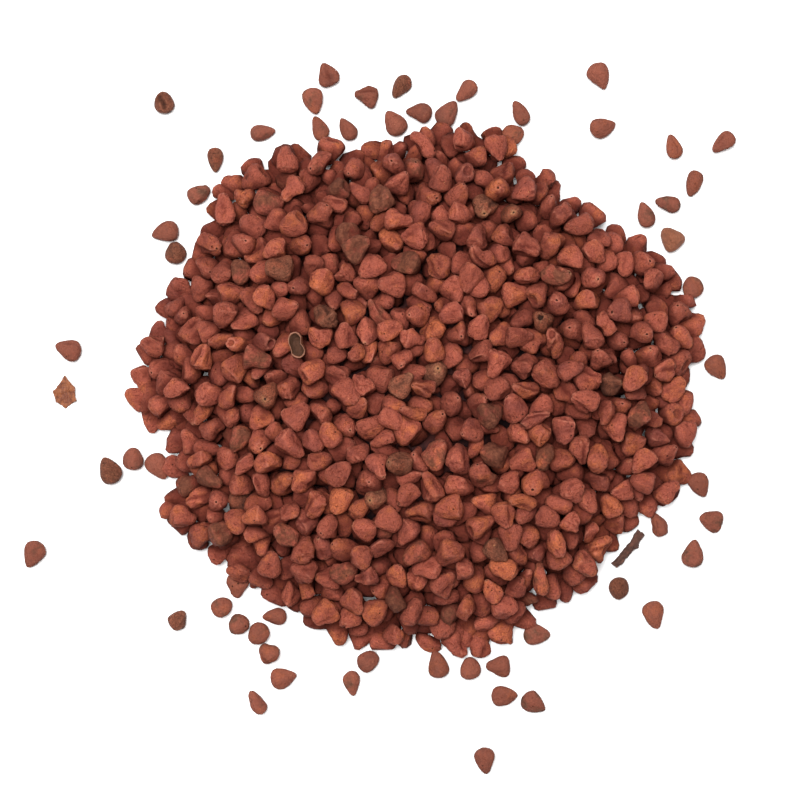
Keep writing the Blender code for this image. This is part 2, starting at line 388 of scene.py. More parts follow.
def seedCoat(name, c, coat):
    # every seed reads its own coordinates (mm), moved on by its chance, so no two are alike
    material, tree, shader = newCoat(name, 0.75, coat["gloss"])
    own = attribute(tree, (-12, 0), "seedCo", "Vector")
    chance = attribute(tree, (-12, 1), "chance")
    tone = attribute(tree, (-12, 2), "tone")
    brown = attribute(tree, (-12, 3), "brown")
    shift = nodeIn(tree, "ShaderNodeVectorMath", (-11, 0), {"operation": "MULTIPLY_ADD"},
                   {0: chance, 1: (37.0, 61.0, 97.0), 2: own}).outputs[0]
    patches = noiseIn(tree, (-10, 0), shift, 0.40, 3.0, 0.60)
    mottle = noiseIn(tree, (-10, 1), shift, 1.7, 4.0, 0.66)
    stains = noiseIn(tree, (-10, 5), shift, 0.5, 4.0, 0.62)
    drawn = nodeIn(tree, "ShaderNodeMapping", (-10, 2), None,
                   {"Vector": shift, "Scale": (0.55, 2.6, 2.6)}).outputs[0]
    streaks = noiseIn(tree, (-9, 2), drawn, 1.5, 5.0, 0.70, 0.6)
    grit = noiseIn(tree, (-10, 3), shift, 4.2, 3.0, 0.70)
    cells = nodeIn(tree, "ShaderNodeTexVoronoi", (-10, 4), None,
                   {"Vector": shift, "Scale": 1.05}).outputs["Distance"]
    warm = plus(tree, (-8, 1), patches, times(tree, (-9, 1), tone, 0.20))
    dull = plus(tree, (-8, 2), patches, times(tree, (-9, 3), tone, 0.26))
    color = layers(tree, (-8, -1), c["body"], (
        (warm, 0.50, 0.76, 1.0, c["warm"]), (dull, 0.42, 0.14, 1.0, c["dull"]),
        (mottle, 0.58, 0.32, coat["mottle"], c["dull"]), (streaks, 0.55, 0.80, coat["dust"], c["dust"]),
        (grit, 0.56, 0.36, coat["grit"], c["crease"])))
    # thin wrinkles where a noise crosses its middle
    fold = noiseIn(tree, (-10, 6), shift, 0.62, 2.0, 0.5, 1.1)
    off = nodeIn(tree, "ShaderNodeMath", (-9, 6), {"operation": "ABSOLUTE"},
                 {0: plus(tree, (-10, 7), fold, -0.5)}).outputs[0]
    wrinkle = times(tree, (-7, 7), shareOf(tree, (-8, 6), off, 0.035, 0.004),
                    shareOf(tree, (-8, 7), mottle, 0.44, 0.60))
    color = mixColor(tree, (-4, 1), times(tree, (-6, 7), wrinkle, coat["wrinkle"]), color, c["crease"])
    # painted glints: small pale flecks near the cells' points, where the mottle is high
    fleck = times(tree, (-4, 2), shareOf(tree, (-5, 3), cells, 0.13, 0.05, (0.0, coat["fleck"])),
                  shareOf(tree, (-5, 4), mottle, 0.50, 0.60))
    color = mixColor(tree, (-3, 0), fleck, color, c["fleck"])
    # painted shade: near-black dots for small pits that are only bumps
    pits = nodeIn(tree, "ShaderNodeTexVoronoi", (-6, 3), None,
                  {"Vector": shift, "Scale": 0.62}).outputs["Distance"]
    pit = times(tree, (-4, 3), shareOf(tree, (-5, 5), pits, 0.115, 0.07, (0.0, 0.85)),
                shareOf(tree, (-5, 6), patches, 0.46, 0.54))
    color = mixColor(tree, (-3, 1), pit, color, c["hole"])
    # painted shade in the dents and the seam, by each point's crease share
    folds = times(tree, (-3, 2), attribute(tree, (-4, 4), "crease"), coat["crease"])
    color = mixColor(tree, (-2, 0), folds, color, c["crease"])
    # painted shade in hollows, where the surface turns inward; ridges take the paler dust colour
    turned = attribute(tree, (-4, 8), "bulge")
    color = layers(tree, (-2, 6), color, ((turned, 0.20, -0.60, coat["hollow"], c["crease"]),
                                          (turned, 0.80, 2.00, coat["ridge"], c["dust"])))
    spread = plus(tree, (-3, 3), stains, brown)
    stain = mixColor(tree, (-2, 3), shareOf(tree, (-3, 5), mottle, 0.42, 0.66), c["darkStain"], c["stain"])
    color = mixColor(tree, (-1, 0), shareOf(tree, (-2, 2), spread, 0.78, 1.0, (0.0, 0.9)), color, stain)
    # the pale rim at the tip, on some seeds at random: a pale ring, partly a painted glint
    rimGlintChance = plus(tree, (-3, 6), mottle, times(tree, (-4, 6), chance, 0.30))
    low, high = coat["rimFrom"]
    paleRimGlint = times(tree, (-1, 2), attribute(tree, (-2, 4), "rim"),
                   shareOf(tree, (-2, 5), rimGlintChance, low, high, (0.0, coat["rim"])))
    color = mixColor(tree, (0, 0), paleRimGlint, color, c["rim"])
    # painted shade in the hole at the tip
    dark = shareOf(tree, (0, 2), attribute(tree, (-1, 4), "hole"), 0.3, 0.9, (0.0, 0.95))
    color = mixColor(tree, (1, 0), dark, color, c["hole"])
    shade = shareOf(tree, (1, 1), chance, 0.0, 1.0, coat["shade"])
    color = nodeIn(tree, "ShaderNodeVectorMath", (2, 0), {"operation": "SCALE"},
                   {0: color, "Scale": shade}).outputs[0]
    # painted shade: points that lie below the seeds round them go towards the dark gap colour
    deep = times(tree, (2, 1), attribute(tree, (1, 2), "deep"), coat["gap"])
    color = mixColor(tree, (3, 0), deep, color, c["gap"])
    tree.links.new(color, shader.inputs["Base Color"])
    tree.links.new(shareOf(tree, (0, 3), mottle, 0.3, 0.75, coat["roughness"]), shader.inputs["Roughness"])
    height = sumOf(tree, (0, 4), times(tree, (-1, 4), streaks, 0.45),
                   ((grit, 0.22), (mottle, 0.9), (wrinkle, -0.16), (pit, -0.30)))
    bump = nodeIn(tree, "ShaderNodeBump", (4, 4), None,
                  {"Height": height, "Strength": coat["bump"], "Distance": 0.6 * mm})
    tree.links.new(bump.outputs["Normal"], shader.inputs["Normal"])
    return material


def fibreCoat(name, c, coat):
    # husk and bark: fibres along the piece's own length, with dark furrows between them
    material, tree, shader = newCoat(name, coat["roughness"], coat["gloss"])
    own = attribute(tree, (-8, 0), "seedCo", "Vector")
    drawn = nodeIn(tree, "ShaderNodeMapping", (-7, 0), None,
                   {"Vector": own, "Scale": coat["fibre"]}).outputs[0]
    fibres = noiseIn(tree, (-6, 0), drawn, 1.6, 6.0, 0.72, 0.8)
    patches = noiseIn(tree, (-6, 1), own, 0.9, 3.0, 0.6)
    grit = noiseIn(tree, (-6, 2), own, 5.0, 3.0, 0.7)
    color = layers(tree, (-4, 0), c["body"], (
        (patches, 0.40, 0.62, 1.0, c["warm"]), (fibres, 0.50, 0.34, 0.85, c["dull"]),
        (fibres, 0.60, 0.74, 0.8, c["fleck"]), (grit, 0.62, 0.74, 0.7, c["crease"])))
    tree.links.new(color, shader.inputs["Base Color"])
    height = plus(tree, (-2, 3), fibres, times(tree, (-3, 3), grit, 0.4))
    bump = nodeIn(tree, "ShaderNodeBump", (-1, 3), None,
                  {"Height": height, "Strength": coat["bump"], "Distance": 0.3 * mm})
    tree.links.new(bump.outputs["Normal"], shader.inputs["Normal"])
    return material


loosePaintedShadeColors = {
    # red seeds lying loose are coloured darker and duller than those of the heap: partly a duller tone,
    # partly painted shade against the brighter light they get on the open floor
    "body": (0.236, 0.073, 0.046), "warm": (0.290, 0.084, 0.044), "dull": (0.155, 0.054, 0.037),
    "dust": (0.280, 0.105, 0.070), "fleck": (0.37, 0.19, 0.10), "crease": (0.108, 0.027, 0.017),
    "stain": (0.145, 0.070, 0.045), "darkStain": (0.080, 0.035, 0.022), "rim": (0.26, 0.12, 0.07),
    "hole": redColors["hole"], "gap": redColors["gap"],
}
coats = {
    "loose_seed_coat": seedCoat("red_seed_coat_loose", loosePaintedShadeColors, {
        "mottle": 0.50, "grit": 0.30, "dust": 0.50, "fleck": 0.5, "wrinkle": 0.6, "crease": 0.75, "rim": 0.50,
        "rimFrom": (0.75, 0.88), "hollow": 0.50, "ridge": 0.35, "shade": (0.92, 1.12), "gap": 0.0,
        "bump": 0.7, "roughness": (0.70, 0.90), "gloss": 0.10}),
    "seed_coat": seedCoat("red_seed_coat", redColors, {
        "mottle": 0.66, "grit": 0.42, "dust": 0.62, "fleck": 0.9, "wrinkle": 0.8, "crease": 0.80, "rim": 0.42,
        "rimFrom": (0.75, 0.88), "hollow": 0.54, "ridge": 0.62, "shade": (0.87, 1.15), "gap": 0.86,
        "bump": 1.0, "roughness": (0.70, 0.90), "gloss": 0.10}),
    "brown_seed_coat": seedCoat("brown_seed_coat_rubbed", brownColors, {
        "mottle": 0.72, "grit": 0.62, "dust": 0.85, "fleck": 1.0, "wrinkle": 0.9, "crease": 0.70, "rim": 0.6,
        "rimFrom": (0.50, 0.75), "hollow": 0.60, "ridge": 0.70, "shade": (0.85, 1.15), "gap": 0.86,
        "bump": 1.0, "roughness": (0.55, 0.80), "gloss": 0.12}),
    "golden_husk": seedCoat("golden_seed_husk", goldenColors, {
        "mottle": 0.60, "grit": 0.40, "dust": 0.60, "fleck": 0.9, "wrinkle": 0.7, "crease": 0.60, "rim": 1.0,
        "rimFrom": (0.10, 0.20), "hollow": 0.50, "ridge": 0.60, "shade": (0.95, 1.05), "gap": 0.5,
        "bump": 0.9, "roughness": (0.45, 0.72), "gloss": 0.30}),
}
huskCoat = fibreCoat("husk_fibres", {
    "body": (0.165, 0.047, 0.022), "warm": (0.290, 0.095, 0.037), "dull": (0.090, 0.028, 0.014),
    "fleck": (0.38, 0.185, 0.075), "crease": (0.10, 0.032, 0.016)}, {
    "fibre": (0.7, 2.0, 2.0), "bump": 0.8, "roughness": 0.50, "gloss": 0.40})
barkCoat = fibreCoat("twig_bark", {
    "body": (0.078, 0.034, 0.024), "warm": (0.125, 0.050, 0.034), "dull": (0.028, 0.012, 0.009),
    "fleck": (0.25, 0.15, 0.10), "crease": (0.18, 0.065, 0.045)}, {
    "fibre": (0.5, 2.6, 2.6), "bump": 1.0, "roughness": 0.75, "gloss": 0.30})


# The heap. The seeds lie out to the CAD heap's outline: those at its edge lie on the floor, the rest
# are dropped on a smaller core and come to rest.
heap = {
    # lengths in mm, angles in degrees
    "pitch": 4.25, "rowStep": 0.866, "layer": 4.9, "perLayer": 2.2, "inset": 0.9, "least": 1.5,
    "heldClear": 0.62, "evenPitch": 1.02, "evenPush": 0.25, "evenSteps": 80, "lowest": 2.7, "shove": 0.3,
    "coreFrom": 8.2, "coreRise": 1.2, "tilt": 62, "sizeSpread": 0.07, "upperHeight": 6.2, "seed": 11,
    "topClear": 2.7, "topRise": 0.9, "browns": 0.06, "upright": 0.07, "uprightReach": 40,
    "over": 0.3, "mostOver": 1.3, "rolled": 0.96, "twigClear": 2.7,
    "bare": 2.1, "fillSize": 0.9, "fillStep": 0.6, "fillReach": 84, "fillInset": 1.3,
}
settling = {
    # everything settles enlarged, because small bodies settle badly
    "scale": 200.0, "frames": 78, "substeps": 6, "solverSteps": 12, "friction": 0.85, "damping": 0.9,
    "spinDamping": 0.85, "margin": 0.004, "hullPoints": 48,
}
edge = {
    "outer": {"pitch": 3.9, "inward": (-0.3, 0.9), "outShare": 0.16, "outward": (0.2, 0.9),
              "skip": 0.05, "clear": 3.4},
    "inner": {"pitch": 3.8, "inward": (3.7, 4.6), "outShare": 0.0, "skip": 0.0, "clear": 3.3},
    "upper": {"pitch": 4.3, "inward": (1.8, 2.8), "outShare": 0.0, "skip": 0.14, "clear": 3.0},
    "size": (0.88, 1.10),
}
kindShares = {"plump": 0.25, "wedge": 0.24, "dimpled": 0.10, "slim": 0.09, "creased": 0.28,
              "curled": 0.04}
edgeShares = {"plump": 0.32, "wedge": 0.28, "dimpled": 0.08, "slim": 0.08, "creased": 0.21,
              "curled": 0.03}


def treeOf(mesh):
    return BVHTree.FromPolygons([v.co / mm for v in mesh.vertices],
                                [tuple(p.vertices) for p in mesh.polygons])


heapTree = treeOf(nodes["heap"].data)
compass = [(math.cos(k * math.pi / 4), math.sin(k * math.pi / 4)) for k in range(8)]


def heapTop(x, y):
    # the CAD heap's height in mm at a place, or -1 beside it
    hit = heapTree.ray_cast(Vector((x, y, 60)), Vector((0, 0, -1)))[0]
    return hit.z if hit else -1.0


def smoothTop(x, y):
    # the height without the CAD's own lumps
    here = heapTop(x, y)
    if here < 0:
        return -1.0
    heights = [here] + [max(0.0, heapTop(x + r * c, y + r * s)) for r in (1.7, 3.2) for c, s in compass]
    return sum(heights) / len(heights)


def coreHeight(x, y):
    return (smoothTop(x, y) - heap["coreFrom"]) * heap["coreRise"]


def reachWhere(angle, test):
    # how far from the middle a test of a place still holds
    near, far = 0.0, 60.0
    for step in range(14):
        middle = (near + far) / 2
        if test(middle * math.cos(angle), middle * math.sin(angle)):
            near = middle
        else:
            far = middle
    return near


strayPlaces = [tuple((np.array(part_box(word)[0]) + np.array(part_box(word)[1]))[:2] / 2 / mm)
               for word in nodes if word != "heap"]
twigEnds = np.array(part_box("twig"))[:, :2] / mm
twigPlaces = [tuple(twigEnds[0] * (1 - k / 4) + twigEnds[1] * k / 4) for k in range(5)]
strayPlaces += twigPlaces


def walkOutline(draw, ring, others):
    # lays a seed every pitch along the outline, clear of the strays and of each other
    places = []
    angle = draw.uniform(0, 0.1)
    while angle < 2 * math.pi - 0.02:
        reach = reachWhere(angle, lambda x, y: heapTop(x, y) > 0)
        if draw.random() > ring["skip"]:
            inward = draw.uniform(*ring["inward"])
            if draw.random() < ring["outShare"]:
                inward = -draw.uniform(*ring["outward"])
            x = (reach - inward) * math.cos(angle)
            y = (reach - inward) * math.sin(angle)
            if min(math.hypot(x - u, y - v) for u, v in others + places) > ring["clear"]:
                places.append((x, y))
        angle += ring["pitch"] * draw.uniform(0.9, 1.2) / reach
    return places


def columnPlaces(held):
    # a hexagonal grid, evened out round the places that are held
    pitch = heap["pitch"]
    reach = int(50 / pitch) + 2
    loose = []
    for row in range(-reach, reach + 1):
        for step in range(-reach, reach + 1):
            x = (step + 0.5 * (row % 2)) * pitch
            y = row * pitch * heap["rowStep"]
            inside = all(heapTop(x + heap["inset"] * c, y + heap["inset"] * s) > 0 for c, s in compass)
            if inside and min(math.hypot(x - u, y - v) for u, v in held) > pitch * heap["heldClear"]:
                loose.append((x, y))
    loose = np.array(loose)
    held = np.array(held)
    own = np.arange(len(loose))
    for step in range(heap["evenSteps"]):
        apart = loose[:, None] - np.vstack([loose, held])[None]
        far = np.linalg.norm(apart, axis=2) + 1e-9
        far[own, own] = 99.0
        push = np.clip(pitch * heap["evenPitch"] - far, 0, None) / far
        loose = loose + heap["evenPush"] * (apart * push[:, :, None]).sum(axis=1)
    return [tuple(p) for p in loose]


def startPlaces(held):
    # each column gets as many seeds as its height needs
    places = []
    owed = 0.0
    shove = heap["shove"] * heap["pitch"]
    for x, y in columnPlaces(held):
        base = max(0.0, coreHeight(x, y))
        owed += max(heap["least"], (smoothTop(x, y) - base) / heap["perLayer"])
        count = int(owed)
        owed -= count
        for k in range(count):
            z = base + heap["lowest"] + k * heap["layer"]
            places.append((x + k % 2 * shove * 0.8, y + k % 2 * shove * 0.5, z))
    return places


def lyingSpot(co, heading, roll, stretch):
    # the turn of a form that lies on the floor, and its middle's height
    turn = Matrix.Rotation(heading, 3, "Z") @ Matrix.Rotation(roll, 3, "X")
    low = ((co * np.array(stretch)) @ np.array(turn).T)[:, 2].min()
    return turn.to_quaternion(), -low


def startSpots(forms, draw):
    # an outer ring that is held, an inner ring and an upper one between them, then the columns
    outer = walkOutline(draw, edge["outer"], strayPlaces)
    inner = walkOutline(draw, edge["inner"], strayPlaces + outer)
    upper = walkOutline(draw, edge["upper"], strayPlaces)
    spots = []
    for k, (x, y) in enumerate(outer + inner):
        number = chooseForm(forms, draw, list(edgeShares), list(edgeShares.values()))
        size = draw.uniform(*edge["size"])
        roll = draw.choice((0, math.pi)) + draw.uniform(-0.3, 0.3)
        stretch = (size, size * draw.uniform(0.94, 1.06), size)
        turn, z = lyingSpot(forms[number]["co"], draw.uniform(0, 2 * math.pi), roll, stretch)
        held = k < len(outer)
        spots.append({"form": number, "stretch": stretch, "place": (x, y, z + (0 if held else 0.1)),
                      "turn": turn, "held": held})
    places = [(x, y, heap["upperHeight"]) for x, y in upper] + startPlaces(outer + inner)
    for place in places:
        number = chooseForm(forms, draw, list(kindShares), list(kindShares.values()))
        size = 1 + draw.uniform(-1, 1) * heap["sizeSpread"]
        lean = math.radians(90 - abs(draw.uniform(-1, 1)) * heap["tilt"]) * draw.choice((-1, 1))
        turn = Euler((draw.uniform(0, 6.28), lean, draw.uniform(0, 6.28))).to_quaternion()
        spots.append({"form": number, "stretch": (size, size, size), "place": place, "turn": turn,
                      "held": False})
    return spots


def coreMesh(name, scale, around, rings, lumps):
    # a dome under the seeds, closed below, out to where the seeds alone reach the floor
    spots = [(0.0, 0.0, coreHeight(0, 0))]
    reaches = [reachWhere(2 * math.pi * a / around, lambda x, y: coreHeight(x, y) > 0.3)
               for a in range(around)]
    for k in range(1, rings + 1):
        for a in range(around):
            x = reaches[a] * k / rings * math.cos(2 * math.pi * a / around)
            y = reaches[a] * k / rings * math.sin(2 * math.pi * a / around)
            z = coreHeight(x, y)
            if lumps:
                z += (0.35 - noise.voronoi(Vector((x / 4.2, y / 4.2, 0)))[0][0]) * lumps - 0.4
            spots.append((x, y, max(z, 0.1)))
    spots.append((0.0, 0.0, 0.02))
    counts = [1] + [around] * rings + [1]
    faces = [face[::-1] for face in ringFaces(counts)]
    mesh = bpy.data.meshes.new(name)
    mesh.from_pydata([(x * scale, y * scale, z * scale) for x, y, z in spots], [], faces)
    return mesh


def fitHeights(spots, forms, plain):
    # leaves out what rolled off, lies on the twig or lies far above the CAD heap, and lifts or lowers
    # the rest to fit
    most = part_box("heap")[1][2] / mm + heap["over"]
    kept = []
    for spot in spots:
        x, y, z = spot["place"]
        turn = np.array(spot["turn"].to_matrix())
        co = np.vstack([forms[spot["form"]]["co"], plain[spot["form"]]["co"]])
        heights = ((co * np.array(spot["stretch"])) @ turn.T)[:, 2] + z
        clear = min(math.hypot(x - u, y - v) for u, v in twigPlaces) > heap["twigClear"]
        inside = heapTop(x * heap["rolled"], y * heap["rolled"]) > 0
        if clear and inside and heights.max() < most + heap["mostOver"]:
            spot["place"][2] -= min(0.0, heights.min()) + max(0.0, heights.max() - most)
            kept.append(spot)
    stage(f"{len(spots) - len(kept)} seeds left out")
    return kept


def fillGaps(spots, forms):
    # a small seed on the floor wherever it would show between the others, inside the outline
    draw = random.Random(heap["seed"] + 1)
    taken = [tuple(spot["place"][:2]) for spot in spots]
    count = len(spots)
    size = (heap["fillSize"],) * 3
    inset = heap["fillInset"]
    steps = [k * heap["fillStep"] for k in range(-heap["fillReach"], heap["fillReach"] + 1)]
    for x, y in [(u, v) for u in steps for v in steps]:
        if min(math.hypot(x - u, y - v) for u, v in taken) < heap["bare"]:
            continue
        if all(heapTop(x + inset * c, y + inset * s) > 0 for c, s in compass):
            number = chooseForm(forms, draw, ["plump", "wedge"])
            turn, z = lyingSpot(forms[number]["co"], draw.uniform(0, 6.28), draw.uniform(-0.3, 0.3), size)
            spots.append({"form": number, "stretch": size, "place": np.array([x, y, z]), "turn": turn})
            taken.append((x, y))
    stage(f"{len(spots) - count} seeds put where the floor showed")


def settle(forms):
    # drops the seeds onto the core and reads where they come to rest
    draw = random.Random(heap["seed"])
    big = settling["scale"]
    folder = bpy.data.collections.new("settling")
    scene.collection.children.link(folder)
    bpy.ops.rigidbody.world_add()
    world = scene.rigidbody_world
    world.collection = folder
    world.substeps_per_frame = settling["substeps"]
    world.solver_iterations = settling["solverSteps"]
    world.point_cache.frame_start = 1
    world.point_cache.frame_end = settling["frames"] + 5
    # a hull of the points that lie furthest out in evenly spread directions
    count = settling["hullPoints"]
    share = 1 - (np.arange(count) * 2 + 1) / count
    turns = np.arange(count) * math.pi * (3 - math.sqrt(5))
    flat = np.sqrt(1 - share * share)
    looks = np.stack([flat * np.cos(turns), flat * np.sin(turns), share])
    hulls = []
    for k, form in enumerate(forms):
        outer = np.unique(np.argmax(form["co"] @ looks, axis=0))
        mesh = bpy.data.meshes.new(f"hull_{k}")
        mesh.from_pydata([tuple(p * mm * big) for p in form["co"][outer]], [], [])
        hulls.append(mesh)

    def bodyOf(name, mesh):
        body = bpy.data.objects.new(name, mesh)
        folder.objects.link(body)
        return body

    spots = startSpots(forms, draw)
    still = []
    for k, spot in enumerate(spots):
        body = bodyOf(f"seed_{k:04d}", hulls[spot["form"]])
        body.location = [round(p * mm * big, 5) for p in spot["place"]]
        body.rotation_mode = "QUATERNION"
        body.rotation_quaternion = spot["turn"]
        body.scale = [round(s, 4) for s in spot["stretch"]]
        spot["body"] = body
        if spot["held"]:
            still.append((body, "CONVEX_HULL"))
    # a box body sits evenly about its own origin, so the floor's slab hangs half its height below
    corners = [(x * 0.2 * big, y * 0.2 * big, z * 0.005 * big) for z in (-1, 1)
               for x, y in ((-1, -1), (1, -1), (1, 1), (-1, 1))]
    floorMesh = bpy.data.meshes.new("floor_still")
    floorMesh.from_pydata(corners, [], [(3, 2, 1, 0), (4, 5, 6, 7), (0, 1, 5, 4), (1, 2, 6, 5),
                                        (2, 3, 7, 6), (3, 0, 4, 7)])
    slab = bodyOf("floor_still", floorMesh)
    slab.location.z = -0.005 * big
    still.append((slab, "BOX"))
    still.append((bodyOf("core_still", coreMesh("core_still", mm * big, 48, 20, 0.0)), "MESH"))
    for word, node in nodes.items():
        if word != "heap":
            mesh = node.data.copy()
            mesh.transform(Matrix.Scale(big, 4))
            still.append((bodyOf(word + "_still", mesh), "CONVEX_HULL"))
    falling = [spot["body"] for spot in spots if not spot["held"]]
    for group, sort in ((falling, "ACTIVE"), ([s[0] for s in still], "PASSIVE")):
        for thing in list(bpy.context.selected_objects):
            thing.select_set(False)
        for thing in group:
            thing.select_set(True)
        bpy.context.view_layer.objects.active = group[0]
        bpy.ops.rigidbody.objects_add(type=sort)
    for body in falling:
        rigid = body.rigid_body
        rigid.collision_shape = "CONVEX_HULL"
        rigid.mass = 1.0
        rigid.friction = settling["friction"]
        rigid.linear_damping = settling["damping"]
        rigid.angular_damping = settling["spinDamping"]
        rigid.use_margin = True
        rigid.collision_margin = settling["margin"]
    for body, shape in still:
        body.rigid_body.collision_shape = shape
        body.rigid_body.friction = 1.0
        body.rigid_body.use_margin = True
        body.rigid_body.collision_margin = settling["margin"]
    stage(f"{len(spots)} seeds ready to settle")
    for step in range(1, settling["frames"] + 1):
        scene.frame_set(step)
    evaluated = bpy.context.evaluated_depsgraph_get()
    for spot in spots:
        place, turn, _ = spot.pop("body").evaluated_get(evaluated).matrix_world.decompose()
        spot["place"] = np.array(place) / big / mm
        spot["turn"] = turn
    scene.frame_set(1)
    for thing in list(folder.objects):
        mesh = thing.data
        bpy.data.objects.remove(thing)
        if mesh.users == 0:
            bpy.data.meshes.remove(mesh)
    bpy.ops.rigidbody.world_remove()
    bpy.data.collections.remove(folder)
    stage(f"{len(spots)} seeds at rest")
    return spots


# Seeds scattered on their spots.
def formShelf(name, forms):
    # the forms in a collection that isn't in the scene, in the order of their numbers
    shelf = bpy.data.collections.new(name)
    for k, form in enumerate(forms):
        mesh = makeMesh(f"{name}_{k:03d}", form["co"], form["faces"], form["co"], form["shares"])
        shelf.objects.link(bpy.data.objects.new(f"{name}_{k:03d}", mesh))
    return shelf


def scatterTree():
    tree = bpy.data.node_groups.new("seed_scatter", "GeometryNodeTree")
    face = tree.interface
    face.new_socket("Geometry", in_out="OUTPUT", socket_type="NodeSocketGeometry")
    for word, sort in (("Spots", "Geometry"), ("Forms", "Collection"), ("Coat", "Material"),
                       ("Scale", "Float"), ("Seed", "Int")):
        face.new_socket(word, in_out="INPUT", socket_type="NodeSocket" + sort)
    given = nodeIn(tree, "NodeGroupInput", (-6, 0)).outputs
    forms = nodeIn(tree, "GeometryNodeCollectionInfo", (-4, 2), None,
                   {"Collection": given["Forms"], "Separate Children": True, "Reset Children": True})
    form, turn, stretch = [
        nodeIn(tree, "GeometryNodeInputNamedAttribute", (-4, 4 + k), {"data_type": sort}, {"Name": word})
        for k, (word, sort) in enumerate((("form", "INT"), ("turn", "FLOAT_VECTOR"),
                                          ("stretch", "FLOAT_VECTOR")))]
    chance = nodeIn(tree, "FunctionNodeRandomValue", (-4, 0), None,
                    {"Min": 0.0, "Max": 1.0, "Seed": given["Seed"]})
    marked = nodeIn(tree, "GeometryNodeStoreNamedAttribute", (-3, 0), {"data_type": "FLOAT"},
                    {"Geometry": given["Spots"], "Name": "chance", "Value": chance.outputs[1]})
    facing = nodeIn(tree, "FunctionNodeEulerToRotation", (-3, 5), None, {0: turn.outputs[0]})
    scaled = nodeIn(tree, "ShaderNodeVectorMath", (-3, 6), {"operation": "SCALE"},
                    {0: stretch.outputs[0], "Scale": given["Scale"]})
    placed = nodeIn(tree, "GeometryNodeInstanceOnPoints", (-2, 0), None,
                    {"Points": marked.outputs[0], "Instance": forms.outputs[0], "Pick Instance": True,
                     "Instance Index": form.outputs[0], "Rotation": facing.outputs[0],
                     "Scale": scaled.outputs[0]})
    real = nodeIn(tree, "GeometryNodeRealizeInstances", (-1, 0), None, {"Geometry": placed.outputs[0]})
    dressed = nodeIn(tree, "GeometryNodeSetMaterial", (0, 0), None,
                     {"Geometry": real.outputs[0], "Material": given["Coat"]})
    nodeIn(tree, "NodeGroupOutput", (1, 0), None, {"Geometry": dressed.outputs[0]})
    return tree


def plainPiece(name, holder):
    # the finished mesh of a holder, which is then removed
    evaluated = bpy.context.evaluated_depsgraph_get()
    mesh = bpy.data.meshes.new_from_object(holder.evaluated_get(evaluated), preserve_all_data_layers=True,
                                           depsgraph=evaluated)
    mesh.name = name
    piece = show(name, mesh)
    holderMesh = holder.data
    bpy.data.objects.remove(holder)
    bpy.data.meshes.remove(holderMesh)
    return piece


def layDown(mesh, middle, heading):
    # turns a mesh made about its own middle to its heading, and moves it to its place on the floor
    mesh.transform(Matrix.Translation((middle[0] * mm, middle[1] * mm, 0))
                   @ Matrix.Rotation(heading, 4, "Z"))
    return mesh


def hand(piece, slot, *replaced):
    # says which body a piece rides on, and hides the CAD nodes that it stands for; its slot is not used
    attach(piece, "root")
    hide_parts(*replaced)


def scatter(name, tree, shelf, spots, slot, seed):
    # spots: place in mm, turn, stretch, number of the form, tone and brown
    holderMesh = bpy.data.meshes.new(name + "_spots")
    holderMesh.from_pydata([tuple(s["place"] * mm) for s in spots], [], [])
    mark(holderMesh, "form", "INT", [s["form"] for s in spots])
    for word in ("tone", "brown"):
        mark(holderMesh, word, "FLOAT", [s[word] for s in spots])
    mark(holderMesh, "turn", "FLOAT_VECTOR", [c for s in spots for c in s["turn"].to_euler("XYZ")])
    mark(holderMesh, "stretch", "FLOAT_VECTOR", [c for s in spots for c in s["stretch"]])
    holder = show(name + "_holder", holderMesh)
    grown = holder.modifiers.new("scatter", "NODES")
    grown.node_group = tree
    sockets = {item.name: item.identifier for item in tree.interface.items_tree if item.in_out == "INPUT"}
    grown[sockets["Forms"]] = shelf
    grown[sockets["Coat"]] = coats[slot]
    grown[sockets["Scale"]] = 1.0
    grown[sockets["Seed"]] = seed
    return plainPiece(name, holder)


# A few seeds that stand out, placed by shares of the heap's box from its left and near corner.
standouts = {
    "brown": [(0.27, 0.73), (0.25, 0.84), (0.34, 0.64), (0.49, 0.53), (0.46, 0.87), (0.345, 0.87),
              (0.43, 0.67), (0.62, 0.82), (0.25, 0.22), (0.17, 0.27), (0.72, 0.37), (0.64, 0.36),
              (0.19, 0.41), (0.21, 0.72), (0.48, 0.35), (0.84, 0.53), (0.69, 0.09), (0.47, 0.12),
              (0.61, 0.20), (0.41, 0.97), (0.13, 0.32)],
    "opened": [(0.55, 0.55), (0.70, 0.65), (0.70, 0.84), (0.58, 0.44), (0.265, 0.48), (0.44, 0.29),
               (0.53, 0.415)],
    "orange": [(0.37, 0.275), (0.85, 0.29), (0.675, 0.16), (0.52, 0.60), (0.45, 0.92)],
    "husk": [(0.288, 0.582)],
}
splitHusk = {"heading": -75, "lean": 12, "raise": 0.6}
# A seed's tone runs from dull to warm, and brown is the share of brown stains on it.
tones = {"spread": 0.42, "brown": (0.0, 0.14), "browner": (0.22, 0.50), "halfBrown": (0.34, 0.55),
         "orange": 1.1, "seed": 5}
# the painted shade between seeds: cell size in mm and cells across, how far the tops reach and soften in
# cells, and the depths in mm where the shade starts and is full
gaps = {"cell": 0.3, "across": 440, "reach": 5, "soften": 3, "from": 0.9, "to": 3.4}


def topSeeds(spots):
    # those that no other seed lies on
    places = np.array([s["place"] for s in spots])
    top = []
    for k, place in enumerate(places):
        apart = np.hypot(places[:, 0] - place[0], places[:, 1] - place[1])
        if not np.any((apart < heap["topClear"]) & (places[:, 2] > place[2] + heap["topRise"])):
            top.append(k)
    return top


